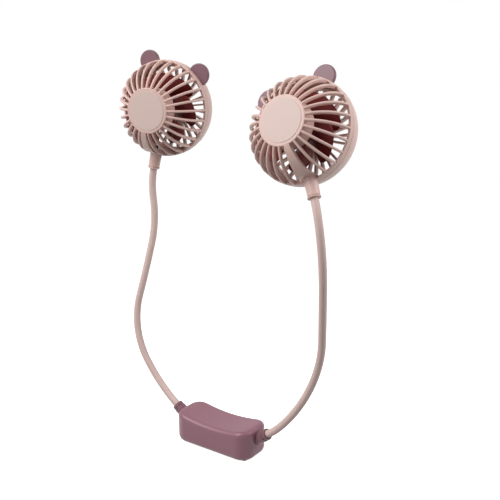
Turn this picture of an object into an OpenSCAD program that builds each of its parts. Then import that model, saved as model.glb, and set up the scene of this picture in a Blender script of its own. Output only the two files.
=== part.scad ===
// Neck fan: a power pack worn at the nape, two flexible arms and two ribbed fan heads.
// The origin is the middle of the hollow on top of the pack. +Z is up, and the fans face -Y.
// Each arm leaves a gland on the pack and runs as a chain of round bends to its head.
// Side 1 is the arm at +X. Side -1 is the same construction mirrored to -X.

/* [Power pack] */
// Length of the case from end to end
case_l = 77; // [74:1:90]
// Depth of the case from front to back
case_d = 35; // [33:1:42]
// Height from the underside to the ends of the top
case_h = 26.5; // [26:0.5:32]
// How far the hollow's circle rises from the middle of the top to the ends of the case
saddle_sag = 5; // [4:0.5:6.5]
// How far the flat ends of the top stop short of that circle
shoulder_drop = 1.5; // [1:0.25:2]
// Radius of the four upright corners
case_corner_r = 12; // [11.5:0.5:13]
// Radius round the underside
case_foot_r = 5.5; // [4:0.5:5.5]
// Radius round the top
case_edge_r = 4.5; // [3.5:0.25:5]
// Wall of the two case shells
case_wall = 1.8; // [1.5:0.1:2.2]
// Depth of the nape cover's rim below the hollow
cover_t = 2.6; // [2.2:0.1:3]
// How deep the cover's lip reaches into the tub
lip_h = 1.4; // [1:0.1:1.6]
// Thickness of that lip
lip_t = 1; // [0.8:0.1:1.2]
// Height of the arm glands' axes above the middle of the case height
gland_lift = 3.45; // [2.8:0.05:4]
// Angle of the arm glands above level
gland_rise = 34; // [28:1:40]

/* [Battery and board] */
// Length of the pouch cell
cell_l = 48; // [36:1:49]
// Width of the pouch cell
cell_w = 26; // [18:0.5:27]
// Thickness of the pouch cell
cell_t = 8.2; // [6:0.1:8.4]
// Foam strip under the cell
pad_t = 0.9; // [0.7:0.05:1]
// Length of the circuit board
board_l = 45; // [42:1:46]
// Thickness of the circuit board
board_t = 1; // [0.8:0.1:1.2]
// Depth of the board's top below the origin
board_drop = 10.6; // [10.4:0.1:10.7]

/* [Button, lights and inlet] */
// Radius of the power button
button_r = 3.2; // [2.6:0.1:3.4]
// How far the button stands proud of the back wall
button_proud = 0.8; // [0.7:0.05:1]
// Travel of the power button
button_travel = 0.6; // [0.4:0.05:0.6]
// Radius of each charge light
light_r = 0.8; // [0.5:0.05:0.9]
// Distance between charge lights
light_pitch = 2.4; // [2:0.1:2.6]
// Distance of the charge inlet from the middle of the case
inlet_x = 14; // [13:0.5:15]
// Width of the inlet's metal shell
inlet_w = 8.94; // [8.9:0.02:9]
// Height of the inlet's metal shell
inlet_h = 3.26; // [3.2:0.02:3.3]

/* [Arms] */
// Outer radius of the silicone skin
skin_r = 3.1; // [2.9:0.1:3.3]
// Wall of the silicone skin
skin_wall = 0.85; // [0.6:0.05:0.95]
// Outer radius of the gooseneck core
core_r = 2; // [1.8:0.05:2.05]
// Radius of the channel through the core
core_bore_r = 1.1; // [0.9:0.05:1.2]
// Radius of the motor lead inside the core
lead_r = 0.8; // [0.5:0.05:0.8]
// Largest bend of the core at one of its pivots, in degrees
pivot_bend = 35; // [20:1:38]
// Length of the first bend, from the gland's end to the first pivot
bend_1 = 14.2; // [14:0.2:26]
// Length of the second bend
bend_2 = 35; // [28:1:42]
// Length of the third bend
bend_3 = 60; // [50:1:70]
// Length of the fourth bend
bend_4 = 48; // [40:1:56]
// Length of the fifth bend
bend_5 = 40; // [32:1:48]
// Length of the last bend, from the last pivot to the neck
bend_6 = 27; // [22:1:32]

/* [Neck] */
// Length of the neck below the head
neck_l = 13; // [12:0.5:20]
// Radius of the neck where it leaves the head
neck_r = 5; // [4.8:0.1:5.4]
// Radius at the lower end of the neck
neck_end_r = 4.7; // [4.4:0.1:4.8]
// Radius of the bead at the lower end of the neck
bead_r = 5.1; // [4.9:0.1:5.6]
// How far the neck stands in front of the head's middle plane
neck_front = 3; // [2:0.25:4]

/* [Fan head] */
// Radius of the head
head_r = 40; // [39:0.5:46]
// Radius of the dome's rounding, from its rim to the face
dome_r = 31.3; // [30.9:0.1:33]
// Distance from the head's middle plane to the face
face_front = 30; // [28.6:0.1:30.5]
// Radius of the rear shell's rounding
rear_r = 33.8; // [33:0.1:36]
// Distance from the head's middle plane to the end of the rear shell
outlet_back = 14; // [12:0.5:16]
// How far the rear grille rises above the end of the rear shell
rear_rise = 7; // [5:0.5:10]
// Number of rib places on the front grille
ribs = 28; // [24:1:32]
// Thickness of a front rib
rib_t = 2; // [1.4:0.1:2.2]
// Depth of a front rib
rib_depth = 3; // [2.4:0.1:3.4]
// Angle covered by the strap that leads down to the neck
strap_angle = 15; // [13:1:19]
// Number of ribs on the rear grille
rear_ribs = 28; // [22:1:30]
// Thickness of a rear rib
rear_rib_t = 1.5; // [1.2:0.1:1.8]
// Wall of the rear shell
shell_wall = 1.7; // [1.5:0.1:2.2]
// Radius of the rear badge
badge_r = 9; // [7:0.5:11]
// Outer radius of the motor cup
cup_r = 17.6; // [17.4:0.1:17.8]
// Depth of the motor cup, from the front of the face
cup_depth = 15; // [14.6:0.1:16]
// Radius of the raised cap on the face
cap_r = 15.9; // [14:0.1:15.9]

/* [Ears] */
// Radius of an ear
ear_r = 9.2; // [7.5:0.1:10]
// Thickness of an ear
ear_t = 3; // [2.4:0.1:3.4]
// How far the middle of an ear lies outside the head's radius
ear_out = 1.7; // [1:0.1:4]
// Angle of an ear from straight up
ear_angle = 35; // [30:0.5:42]

/* [Motor and impeller] */
// Radius of the motor can
motor_r = 12.2; // [11:0.1:12.4]
// Length of the flat motor can
motor_l = 10.4; // [8:0.1:10.8]
// Radius of the motor shaft
shaft_r = 1; // [0.8:0.05:1.2]
// Number of impeller blades
blades = 6; // [5:1:8]
// Radius of the impeller over its blades
blade_tip_r = 29.6; // [27:0.2:30]
// Length of the blades along the axis
blade_w = 17; // [14:0.5:18]
// Turn of a blade from front to back, in degrees
blade_turn = 62; // [45:1:75]
// Thickness of a blade
blade_t = 1.4; // [1.1:0.1:1.8]
// Radius of the impeller hub
hub_r = 10.5; // [9:0.25:12]
// Turn of the left impeller about its shaft, in degrees
left_fan_turn = 50; // [0:1:60]
// Turn of the right impeller about its shaft, in degrees
right_fan_turn = 45; // [0:1:60]

/* [Hidden] */
$fn = 96;
fine_fn = 360;
right = 1;
left = -1;

// Clearances and overruns
overrun = 1;
fit = 0.1;
seam = 0.12;
play = 0.3;
slip = 0.05;

// Colours
case_colour = "#94707b";
case_dark_colour = "#7d5a66";
shell_colour = "#dcc4bb";
skin_colour = "#bfa49d";
ear_colour = "#7a5a64";
fan_colour = "#5a1a1e";
steel_colour = "#b8bcc0";

// Bends of the arms as worn: degrees towards the other arm, and degrees to the front
arm_lengths = [bend_1, bend_2, bend_3, bend_4, bend_5, bend_6];
right_in = [12, 15, 20, 1, 15, 20];
right_front = [-1, -3, 19, 0, -12, -19];
left_in = [8, 16, 43, -4, -14, 20];
left_front = [1, 1, -13, -1, 13, -3];
// Turn of each face outwards about its neck
right_face_turn = 9;
left_face_turn = -11;
last_bend = len(arm_lengths) - 1;

function in_turn(side, i) = side > 0 ? right_in[i] : left_in[i];
function front_turn(side, i) = side > 0 ? right_front[i] : left_front[i];
function bend_angle(side, i) = norm([in_turn(side, i), front_turn(side, i)]);
function bend_plane(side, i) = atan2(front_turn(side, i), in_turn(side, i));
function bend_radius(side, i) = arm_lengths[i] * 180 / (PI * bend_angle(side, i));
function face_turn(side) = side > 0 ? right_face_turn : left_face_turn;
function fan_turn(side) = side > 0 ? right_fan_turn : left_fan_turn;

// Neighbouring bends stop just short of each other, and a bead a hair wider joins them
join_half = 0.3;
join_gap = 0.1;
join_rise = 0.02;

// Case outline
case_top = saddle_sag - shoulder_drop;
case_floor = case_top - case_h;
half_l = case_l / 2;
half_d = case_d / 2;
corner_x = half_l - case_corner_r;
corner_y = half_d - case_corner_r;
saddle_r = (pow(half_l, 2) + pow(saddle_sag, 2)) / (2 * saddle_sag);
saddle_half_angle = asin((half_l + overrun) / saddle_r);
crossing = 0.02;
back_inner = half_d - case_wall;

// Glands
gland_set = 1;
gland_x = half_l - gland_set;
gland_z = case_floor + case_h / 2 + gland_lift;
gland_r = 5;
gland_out = 12.8;
gland_stub = gland_out;
gland_boss_t = 1.4;
gland_boss_r = gland_r + gland_boss_t;
gland_boss_in = 8;
gland_foot_w = 1.2;
gland_foot_r = gland_r + gland_foot_w;
gland_foot_t = 1.2;
gland_end_l = 2.6;
gland_end_step = 0.25;
gland_groove_w = 0.8;
gland_groove_depth = 0.6;
gland_groove_z = gland_out - gland_end_l - gland_groove_w;
skin_seat = 2;

// Screws of the case
post_r = 3.1;
post_sink = 0.5;
post_share = 0.4;
post_h = case_h * post_share;
post_top = case_floor + post_h;
post_off = (case_corner_r - case_wall - post_r + post_sink) / sqrt(2);
screw_x = corner_x + post_off;
screw_y = corner_y + post_off;
screw_r = 1;
screw_seat_h = 4;
screw_grip = 4;
screw_l = post_h - screw_seat_h + screw_grip;
screw_head_r = 1.9;
screw_head_h = 1.3;
drive_l_share = 1.2;
drive_t_share = 0.4;

// Board, cell and what they rest on
pad_z = case_floor + case_wall + slip;
pad_w = 16;
cell_z = pad_z + pad_t;
board_top = -board_drop;
board_under = board_top - board_t;
board_d = 2 * (back_inner - fit);
ledge_w = 3;
ledge_depth = 1.2;
ledge_h = 2.4;
ledge_x = (board_l - ledge_w) / 2;
ledge_y = back_inner + (overrun - ledge_depth) / 2;
notch_w = 10;
notch_depth = 2;
tab_w = 4;
tab_t = 0.15;
tab_y = 5;
tab_reach = 0.6;
chip_h = 1.5;
// Chips: place, length and width as shares of the board, and the number of chip heights
chip_shares = [
    [0, -0.07, 0.11, 0.16, 1],
    [-0.2, 0, 0.08, 0.1, 1],
    [0.2, -0.18, 0.11, 0.16, 2],
    [-0.25, -0.28, 0.07, 0.07, 1]
];

// Button, lights and inlet
feature_z = board_top + inlet_h / 2;
button_flange_w = 0.7;
button_flange_r = button_r + button_flange_w;
button_flange_t = 0.8;
switch_w = 4.5;
switch_d = 3.2;
switch_h = 3.2;
plunger_r = 0.9;
plunger_l = 0.5;
stem_r = 1.4;
stem_tip = back_inner - slip - button_flange_t - plunger_l;
switch_front = stem_tip - button_travel - play;
light_x = -16;
light_count = 4;
light_l = 3.4;
led_size = 1.5;
inlet_depth = 7.3;
inlet_recess = 0.5;
inlet_skin = 0.3;
inlet_fit = 0.15;
tongue_w = 6.7;
tongue_t = 0.7;

// Head profile: the front dome and the rear shell are arcs that meet square at the rim
dome_x = head_r - dome_r;
face_r = dome_x + sqrt(pow(dome_r, 2) - pow(face_front, 2));
rear_x = head_r - rear_r;
outlet_r = rear_x + sqrt(pow(rear_r, 2) - pow(outlet_back, 2));
ring_front = 3.4;
ring_back = 0.8;
ring_t = 1.6;
ring_inner_r = head_r - ring_t;
rear_lip_t = 1.3;
rear_lip_l = 2.4;
face_t = 2.4;
face_rim = 0.7;
cup_wall = 1.5;
cup_back = -face_front + cup_depth;
collar_t = 1.4;
collar_l = 7;
cap_t = 1.2;
cap_proud = 0.3;
grille_r = (pow(outlet_r, 2) + pow(rear_rise, 2)) / (2 * rear_rise);
grille_y = outlet_back + rear_rise - grille_r;
badge_y = grille_y + sqrt(pow(grille_r, 2) - pow(badge_r, 2));
rear_rib_depth = 4.4;
rear_rim_t = 2.2;
rear_rim_w = 2.4;
rear_plug_t = 1.2;
rear_plug_l = 2.4;
plug_r = outlet_r - shell_wall - 2 * slip;
rear_hole_r = outlet_r - rear_rim_w - slip;
neck_set = 1;
neck_in = 5;
neck_drop = neck_l + head_r - neck_set;
neck_top = neck_l + neck_in - neck_set;
socket_wall = 1.3;
socket_r = neck_r + socket_wall;
socket_rim = 1;
socket_h = neck_in + socket_rim;
pad_lift = 2.8;
skin_end = 4.4;
bead_h = 1.3;
bead_gap = 0.4;
sleeve_t = 0.8;
sleeve_r = skin_r + sleeve_t;
ear_reach = head_r + ear_out;
ear_y = 3;
ear_edge_r = 0.9;
peg_r = 1.4;
peg_l = 2.6;

// Motor and impeller
motor_front = -face_front + face_t + fit;
motor_back = motor_front + motor_l;
plate_t = 1.4;
plate_hole_r = 3;
shaft_in = 5;
hub_gap = 1.2;
hub_front = motor_back + slip + plate_t + hub_gap;
hub_l = 14;
hub_cap = 2;
shaft_back = hub_front + hub_l - hub_cap;
blade_set = 3;
blade_front = hub_front + blade_set;
blade_round_r = 5;
blade_rows = 4;
round_rows = 4;
rows = blade_rows + round_rows;
blade_columns = 7;
// A core length begins with a ball on its pivot and ends short of the next one in a shallow cup
ball_r = core_r + slip;
cup_rim = core_r * sin(pivot_bend) + play;
// Turns of the motor lead inside a head: over the neck, along the strap and into the cup
lead_line_r = dome_r - rib_depth - lead_r - 3 * slip;
lead_dip = socket_rim + lead_r + 4 * slip;
lead_angles = [32, 46, 60];
lead_end = lead_line_r * sin(lead_angles[2]);
lead_turns = [
    [head_r - neck_in - lead_dip, neck_front],
    for (a = lead_angles) [dome_x + lead_line_r * cos(a), lead_line_r * sin(a)],
    [cup_r - cup_wall - lead_r, lead_end]
];
last_turn = len(lead_turns) - 1;

function lead_point(i) = [0, -lead_turns[i][1], -lead_turns[i][0]];

// Helpers

module sided(side) {
    if (side < 0) mirror([1, 0, 0]) children();
    else children();
}

module lathe() rotate([-90, 0, 0]) rotate_extrude() children();

module ring_2d(outer, inner) difference() {
    circle(outer);
    circle(inner);
}

module rounded_2d(w, h, r) {
    square([w - 2 * r, h], center = true);
    square([w, h - 2 * r], center = true);
    for (sx = [-1, 1], sy = [-1, 1])
        translate([sx * (w / 2 - r), sy * (h / 2 - r)]) circle(r);
}

module along_y(r, from, to) translate([0, from, 0]) rotate([-90, 0, 0]) cylinder(r = r, h = to - from);

module at_gland(side) sided(side)
    translate([gland_x, 0, gland_z]) rotate([0, 90 - gland_rise, 0]) rotate([0, 0, 180]) children();

module past_bend(side, i) {
    turn = bend_angle(side, i);
    r = bend_radius(side, i);
    rotate([0, 0, bend_plane(side, i)])
        translate([r * (1 - cos(turn)), 0, r * sin(turn)])
            rotate([0, turn, 0]) rotate([0, 0, -bend_plane(side, i)]) children();
}

module at_knot(side, n) {
    if (n == 0) at_gland(side) translate([0, 0, gland_stub]) children();
    else at_knot(side, n - 1) past_bend(side, n - 1) children();
}

module at_head(side)
    at_knot(side, last_bend + 1) translate([0, 0, neck_drop])
        rotate([0, 0, 180 + face_turn(side)]) translate([0, neck_front, 0]) children();

module bend(side, i) {
    r = bend_radius(side, i);
    gap = join_gap * 180 / (PI * r);
    rotate([0, 0, bend_plane(side, i)]) translate([r, 0, 0]) rotate([90, 180, 0]) rotate([0, 0, -gap])
        rotate_extrude(angle = 2 * gap - bend_angle(side, i), $fn = 2 * fine_fn) translate([r, 0]) children();
}

module bends(side, first, last) for (i = [first:last]) at_knot(side, i) bend(side, i) children();

module join() linear_extrude(2 * join_half, center = true) children();

// Case shells

module half_outline(reach, edge, inset) {
    low = case_floor + inset;
    high = case_top - inset;
    foot = case_foot_r - inset;
    translate([0, low]) square([reach - foot, high - low]);
    translate([0, low + foot]) square([reach, high - edge - low - foot]);
    translate([0, low + foot]) square([reach - edge, high - low - foot]);
    translate([reach - foot, low + foot]) circle(foot);
    if (edge > 0) translate([reach - edge, high - edge]) circle(edge);
}

module outline(reach, edge, inset) for (flip = [0, 1]) mirror([flip, 0]) half_outline(reach, edge, inset);

// Quarter turns of one outline at the corners and straight runs of it between them
module case_block(inset) {
    edge = case_edge_r - inset;
    rotate([90, 0, 0]) linear_extrude(2 * corner_y, center = true) outline(half_l - inset, edge, inset);
    rotate([90, 0, 90]) linear_extrude(2 * corner_x, center = true) outline(half_d - inset, 0, inset);
    for (flip_x = [0, 1], flip_y = [0, 1]) mirror([flip_x, 0, 0]) mirror([0, flip_y, 0])
        translate([corner_x, corner_y, 0]) rotate_extrude(angle = 90)
            half_outline(case_corner_r - inset, edge, inset);
}

module edge_profile(near, r, half, reach) {
    translate([near + r, -half]) square([reach - r, 2 * half]);
    translate([near, r - half]) square([reach, 2 * (half - r)]);
    for (s = [-1, 1]) translate([near + r, s * (half - r)]) circle(r);
}

module saddle_edges(inset) translate([0, 0, saddle_r]) rotate([-90, 0, 0])
    rotate([0, 0, 90 - saddle_half_angle]) rotate_extrude(angle = 2 * saddle_half_angle, $fn = fine_fn)
        edge_profile(saddle_r + inset, case_edge_r - inset, half_d + crossing - inset, case_h + saddle_sag);

module case_form(inset) intersection() {
    case_block(inset);
    saddle_edges(inset);
}

module above_parting(depth) translate([0, 0, saddle_r]) rotate([90, 0, 0])
    cylinder(r = saddle_r + depth, h = case_d + 2 * overrun, center = true, $fn = fine_fn);

module screw_places() for (sx = [-1, 1], sy = [-1, 1]) translate([sx * screw_x, sy * screw_y, 0]) children();

module tub_inside() intersection() {
    case_form(case_wall / 2);
    union() {
        for (side = [left, right]) at_gland(side)
            translate([0, 0, -gland_boss_in]) cylinder(r = gland_boss_r, h = gland_boss_in + gland_out);
        screw_places() translate([0, 0, case_floor]) cylinder(r = post_r, h = post_top - case_floor);
        for (sx = [-1, 1], sy = [-1, 1])
            translate([sx * ledge_x, sy * ledge_y, board_under - slip - ledge_h / 2])
                cube([ledge_w, ledge_depth + overrun, ledge_h], center = true);
    }
}

module back_hole(x, r) translate([x, 0, feature_z]) along_y(r, back_inner - overrun, half_d + overrun);

module tub_holes() {
    for (side = [left, right]) at_gland(side)
        translate([0, 0, -gland_boss_in - overrun])
            cylinder(r = gland_r + slip, h = 2 * gland_out + gland_boss_in);
    screw_places() {
        translate([0, 0, case_floor - overrun]) cylinder(r = screw_head_r + fit, h = screw_seat_h + overrun);
        translate([0, 0, case_floor]) cylinder(r = screw_r + fit, h = case_h);
    }
    back_hole(0, button_r + fit);
    for (i = [0:light_count - 1]) back_hole(light_x + i * light_pitch, light_r + slip);
    translate([inlet_x, half_d + overrun, feature_z]) rotate([90, 0, 0])
        linear_extrude(case_wall + 2 * overrun)
            rounded_2d(inlet_w + 2 * inlet_fit, inlet_h + 2 * inlet_fit, inlet_h / 2);
}

module case_tub() color(case_colour) difference() {
    union() {
        difference() {
            case_form(0);
            case_form(case_wall);
        }
        tub_inside();
    }
    above_parting(cover_t + seam);
    tub_holes();
}

module cover_lip() difference() {
    intersection() {
        case_form(case_wall + fit);
        above_parting(cover_t + lip_h);
    }
    case_form(case_wall + fit + lip_t);
}

module cover_posts() intersection() {
    case_form(case_wall + play);
    union() {
        screw_places() translate([0, 0, post_top + slip]) cylinder(r = post_r, h = case_h);
        for (sx = [-1, 1], sy = [-1, 1])
            translate([sx * ledge_x, sy * (back_inner - ledge_w), board_top + slip])
                cylinder(r = ledge_w / 2, h = case_h);
    }
}

module nape_cover() color(case_colour) difference() {
    union() {
        intersection() {
            case_form(0);
            above_parting(cover_t);
        }
        cover_lip();
        cover_posts();
    }
    screw_places() translate([0, 0, case_floor])
        cylinder(r = screw_r + slip, h = screw_seat_h + screw_l + overrun);
}

module case_screws() color(steel_colour) screw_places() translate([0, 0, case_floor + screw_seat_h]) {
    drive_l = screw_head_r * drive_l_share;
    drive_t = screw_r * drive_t_share;
    cylinder(r = screw_r, h = screw_l);
    translate([0, 0, -screw_head_h]) difference() {
        cylinder(r = screw_head_r, h = screw_head_h);
        translate([0, 0, screw_head_h / 2 - overrun])
            for (turn = [0, 90]) rotate([0, 0, turn])
                cube([drive_l, drive_t, 2 * overrun - screw_head_h], center = true);
    }
}

// Battery, board and what sits on it

module battery_cell() color("silver") translate([0, 0, cell_z]) {
    rotate([90, 0, 90]) linear_extrude(cell_l, center = true)
        translate([0, cell_t / 2]) rounded_2d(cell_w, cell_t, cell_t / 4);
}

module cell_pad() color("dimgray") translate([-cell_l / 2, -pad_w / 2, pad_z])
    cube([cell_l, pad_w, pad_t - slip]);

module cell_tabs() color("gainsboro") for (s = [-1, 1]) {
    low = cell_z + cell_t / 2;
    translate([cell_l / 2, s * tab_y - tab_w / 2, low]) cube([tab_reach, tab_w, tab_t]);
    translate([cell_l / 2 + tab_reach - tab_t, s * tab_y - tab_w / 2, low])
        cube([tab_t, tab_w, board_under - low - slip]);
    translate([cell_l / 2 - tab_w, s * tab_y - tab_w / 2, board_under - slip - tab_t])
        cube([tab_w + tab_reach, tab_w, tab_t]);
}

module circuit_board() color("darkgreen") difference() {
    translate([-board_l / 2, -board_d / 2, board_under]) cube([board_l, board_d, board_t]);
    translate([-notch_w / 2, board_d / 2 - notch_depth, board_under - overrun])
        cube([notch_w, notch_depth + overrun, board_t + 2 * overrun]);
}

module on_board(x, y, w, d, h) translate([x - w / 2, y - d / 2, board_top]) cube([w, d, h]);

module board_parts() color("#2b2b2e") {
    led_y = half_d - light_l - led_size / 2 - slip;
    for (c = chip_shares)
        on_board(c[0] * board_l, c[1] * board_d, c[2] * board_l, c[3] * board_d, c[4] * chip_h);
    for (i = [0:light_count - 1])
        on_board(light_x + i * light_pitch, led_y, led_size, led_size, 2 * (feature_z - board_top));
}

module button_switch() color("#4a4a4e") {
    on_board(0, switch_front - plunger_l - switch_d / 2, switch_w, switch_d, switch_h);
    translate([0, 0, feature_z]) along_y(plunger_r, switch_front - plunger_l - slip, switch_front);
}

module at_inlet() translate([inlet_x, half_d - inlet_recess, feature_z]) rotate([90, 0, 0]) children();

module charge_inlet() color(steel_colour) at_inlet() {
    linear_extrude(inlet_depth) difference() {
        rounded_2d(inlet_w, inlet_h, inlet_h / 2 - slip / 2);
        rounded_2d(inlet_w - 2 * inlet_skin, inlet_h - 2 * inlet_skin, inlet_h / 2 - inlet_skin - slip / 2);
    }
    translate([0, 0, inlet_depth / 2]) linear_extrude(inlet_depth / 2)
        rounded_2d(inlet_w - inlet_skin, inlet_h - inlet_skin, inlet_h / 2 - inlet_skin);
    translate([-tongue_w / 2, -tongue_t / 2, inlet_recess]) cube([tongue_w, tongue_t, inlet_depth / 2]);
}

module power_button() color(case_dark_colour) translate([0, 0, feature_z]) {
    along_y(button_r, back_inner - slip - button_flange_t, half_d + button_proud);
    along_y(button_flange_r, back_inner - slip - button_flange_t, back_inner - slip);
    along_y(stem_r, stem_tip, back_inner - slip);
}

module charge_lights() color("white") for (i = [0:light_count - 1])
    translate([light_x + i * light_pitch, 0, feature_z]) along_y(light_r, half_d - light_l, half_d);

// Glands and arms

module gland(side) color(case_dark_colour) at_gland(side) difference() {
    union() {
        translate([0, 0, -gland_boss_in - slip])
            cylinder(r = gland_r, h = gland_boss_in + gland_groove_z + slip);
        translate([0, 0, gland_groove_z - overrun])
            cylinder(r = gland_r - gland_groove_depth, h = gland_groove_w + 2 * overrun);
        translate([0, 0, gland_groove_z + gland_groove_w])
            cylinder(r = gland_r - gland_end_step, h = gland_end_l);
        translate([0, 0, -gland_boss_in - slip - gland_foot_t]) cylinder(r = gland_foot_r, h = gland_foot_t);
    }
    translate([0, 0, skin_seat]) cylinder(r = skin_r + slip, h = gland_out);
    translate([0, 0, -gland_boss_in - gland_foot_t - overrun])
        cylinder(r = core_r + slip, h = gland_boss_in + gland_out);
}

module core_line(side, first, last, r) {
    bends(side, first, last) circle(r);
    if (first == 0) {
        at_gland(side) translate([0, 0, -gland_boss_in])
            cylinder(r = r, h = gland_boss_in + gland_stub - join_gap);
        at_knot(side, 0) join() circle(r + join_rise);
    }
    if (last == last_bend) {
        at_knot(side, last + 1) join() circle(r + join_rise);
        at_knot(side, last + 1) translate([0, 0, join_gap]) cylinder(r = r, h = neck_top - join_gap);
    }
}

module core_end(side, first, last) {
    if (first == 0) at_gland(side) translate([0, 0, -gland_boss_in - overrun])
        cylinder(r = core_bore_r + join_rise, h = 2 * overrun);
    else at_knot(side, first) translate([0, 0, -core_r - overrun])
        cylinder(r = core_bore_r + join_rise, h = core_r + overrun + join_half);
    if (last == last_bend) at_knot(side, last + 1) translate([0, 0, neck_top - overrun])
        cylinder(r = core_bore_r + join_rise, h = 2 * overrun);
    else at_knot(side, last + 1) {
        sphere(ball_r + play);
        translate([0, 0, -cup_rim]) cylinder(r = core_r + overrun, h = cup_rim + overrun);
    }
}

module core_length(side, first, last) color(steel_colour) difference() {
    union() {
        core_line(side, first, last, core_r);
        if (first > 0) at_knot(side, first) sphere(ball_r);
    }
    core_line(side, first, last, core_bore_r);
    core_end(side, first, last);
}

module skin(side) color(skin_colour) {
    inner = skin_r - skin_wall;
    at_gland(side) translate([0, 0, skin_seat + slip])
        linear_extrude(gland_stub - skin_seat - slip - join_gap) ring_2d(skin_r, inner);
    bends(side, 0, last_bend) ring_2d(skin_r, inner);
    for (i = [0:last_bend + 1]) at_knot(side, i) join() ring_2d(skin_r + join_rise, inner - join_rise);
    at_knot(side, last_bend + 1) translate([0, 0, join_gap])
        linear_extrude(neck_l - skin_end - slip - join_gap) ring_2d(skin_r, inner);
}

module rod(from, to, r) {
    run = to - from;
    level = norm([run[0], run[1]]);
    translate(from) rotate([0, atan2(level, run[2]), atan2(run[1], run[0])]) cylinder(r = r, h = norm(run));
}

module lead(side) color("black") {
    bends(side, 0, last_bend) circle(lead_r);
    for (i = [0:last_bend + 1]) at_knot(side, i) join() circle(lead_r + join_rise);
    at_gland(side) translate([0, 0, -gland_boss_in - gland_foot_t])
        cylinder(r = lead_r, h = gland_boss_in + gland_foot_t + gland_stub - join_gap);
    at_head(side) {
        rod([0, -neck_front, join_gap - neck_drop], lead_point(0), lead_r);
        for (i = [0:last_turn - 1]) rod(lead_point(i), lead_point(i + 1), lead_r);
        for (i = [0:last_turn - 1]) translate(lead_point(i)) sphere(lead_r + slip);
    }
}

// Head shells

module wedge(angle, reach) rotate([90, 0, 0]) linear_extrude(4 * head_r, center = true)
    polygon([[0, 0], [reach * tan(angle / 2), -reach], [-reach * tan(angle / 2), -reach]]);

module slab(angle, thick, near, far) rotate([0, angle, 0])
    translate([-thick / 2, -2 * head_r, near]) cube([thick, 4 * head_r, far - near]);

function off_strap(a) = abs((a % 360) - 180) > strap_angle / 2 + 90 / ribs;

module rib_slabs(side) {
    for (i = [0:ribs - 1]) {
        a = (i + (side > 0 ? 0.5 : 0)) * 360 / ribs;
        if (off_strap(a)) slab(a, rib_t, face_r - 2 * overrun, head_r + overrun);
    }
    intersection() {
        wedge(strap_angle, 2 * head_r);
        slab(180, head_r, face_r - 2 * overrun, head_r + overrun);
    }
}

module front_2d() {
    intersection() {
        translate([dome_x, 0]) circle(dome_r);
        translate([0, -face_front]) square([head_r + overrun, face_front]);
    }
    translate([0, -face_front]) square([dome_x, face_front]);
    square([head_r - slip, ring_back]);
}

module under_ribs_2d() {
    intersection() {
        translate([dome_x, 0]) circle(dome_r - rib_depth);
        translate([0, -dome_r]) square([2 * head_r, 2 * dome_r]);
    }
    translate([0, rib_depth - dome_r]) square([dome_x, 2 * dome_r]);
}

// A block round the top of the neck at the lower end of the strap
module socket(grow) translate([-socket_r - grow, -face_front, -head_r - overrun])
    cube([2 * (socket_r + grow), face_front + 2 * overrun, socket_h + overrun + grow]);

module neck_bore() translate([0, -neck_front, -2 * head_r])
    cylinder(r = neck_r + slip, h = head_r + neck_in + slip);

module front_grille(side) color(shell_colour) at_head(side) difference() {
    intersection() {
        lathe() front_2d();
        union() {
            difference() {
                rib_slabs(side);
                lathe() under_ribs_2d();
                along_y(2 * head_r, -ring_front / 2, 4 * head_r);
            }
            lathe() translate([ring_inner_r, -ring_front])
                square([ring_t + overrun, ring_front + ring_back + overrun]);
            along_y(face_r + face_rim, -face_front - overrun, -face_front + face_t);
            along_y(cup_r, -face_front + face_t / 2, -face_front + cup_depth);
            socket(0);
        }
    }
    translate([-socket_r - overrun, -face_front, -2 * head_r])
        cube([2 * (socket_r + overrun), face_front - ring_front, head_r + pad_lift]);
    along_y(cap_r + slip, -face_front - overrun, -face_front + cap_t - cap_proud);
    motor_room();
    neck_bore();
    rod([0, -neck_front, -neck_drop], lead_point(0), lead_r + fit);
    rod(lead_point(last_turn - 1), lead_point(last_turn), lead_r + fit);
    translate(lead_point(last_turn)) sphere(lead_r + 2 * fit);
}

module motor_room() difference() {
    along_y(cup_r - cup_wall, -face_front + face_t, -face_front + cup_depth + overrun);
    difference() {
        along_y(motor_r + slip + collar_t, -face_front, -face_front + face_t + collar_l);
        along_y(motor_r + slip, -face_front - overrun, -face_front + cup_depth);
    }
}

module face_cap(side) color(shell_colour) at_head(side) lathe() {
    low = -face_front - cap_proud;
    translate([0, low]) square([cap_r - cap_proud, cap_t - slip]);
    translate([0, low + cap_proud]) square([cap_r, cap_t - cap_proud - slip]);
    translate([cap_r - cap_proud, low + cap_proud]) circle(cap_proud, $fn = 24);
}

module rear_2d(from) intersection() {
    translate([rear_x, 0]) ring_2d(rear_r, rear_r - shell_wall);
    translate([0, from]) square([head_r + overrun, outlet_back - from]);
}

module ear_places() for (s = [-1, 1]) rotate([0, s * ear_angle, 0]) children();

module rear_lip() difference() {
    lathe() {
        near = ring_inner_r - slip - rear_lip_t;
        translate([near, ring_back + seam - rear_lip_l]) square([rear_lip_t, rear_lip_l + overrun]);
        translate([near, ring_back + seam]) square([rear_lip_t + shell_wall / 2, overrun]);
    }
    socket(fit);
}

module rear_shell(side) color(shell_colour) at_head(side) difference() {
    union() {
        lathe() rear_2d(ring_back + seam);
        rear_lip();
    }
    neck_bore();
    ear_places() translate([0, ear_y, 0]) cylinder(r = peg_r + slip, h = 2 * head_r);
}

module rear_dome_2d(depth) {
    intersection() {
        translate([rear_x, 0]) circle(rear_r - depth);
        square([2 * head_r, 2 * head_r]);
    }
    square([rear_x, rear_r - depth]);
}

module grille_dome_2d(depth) intersection() {
    translate([0, grille_y]) circle(grille_r - depth, $fn = fine_fn);
    square([2 * head_r, 2 * head_r]);
}

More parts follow.
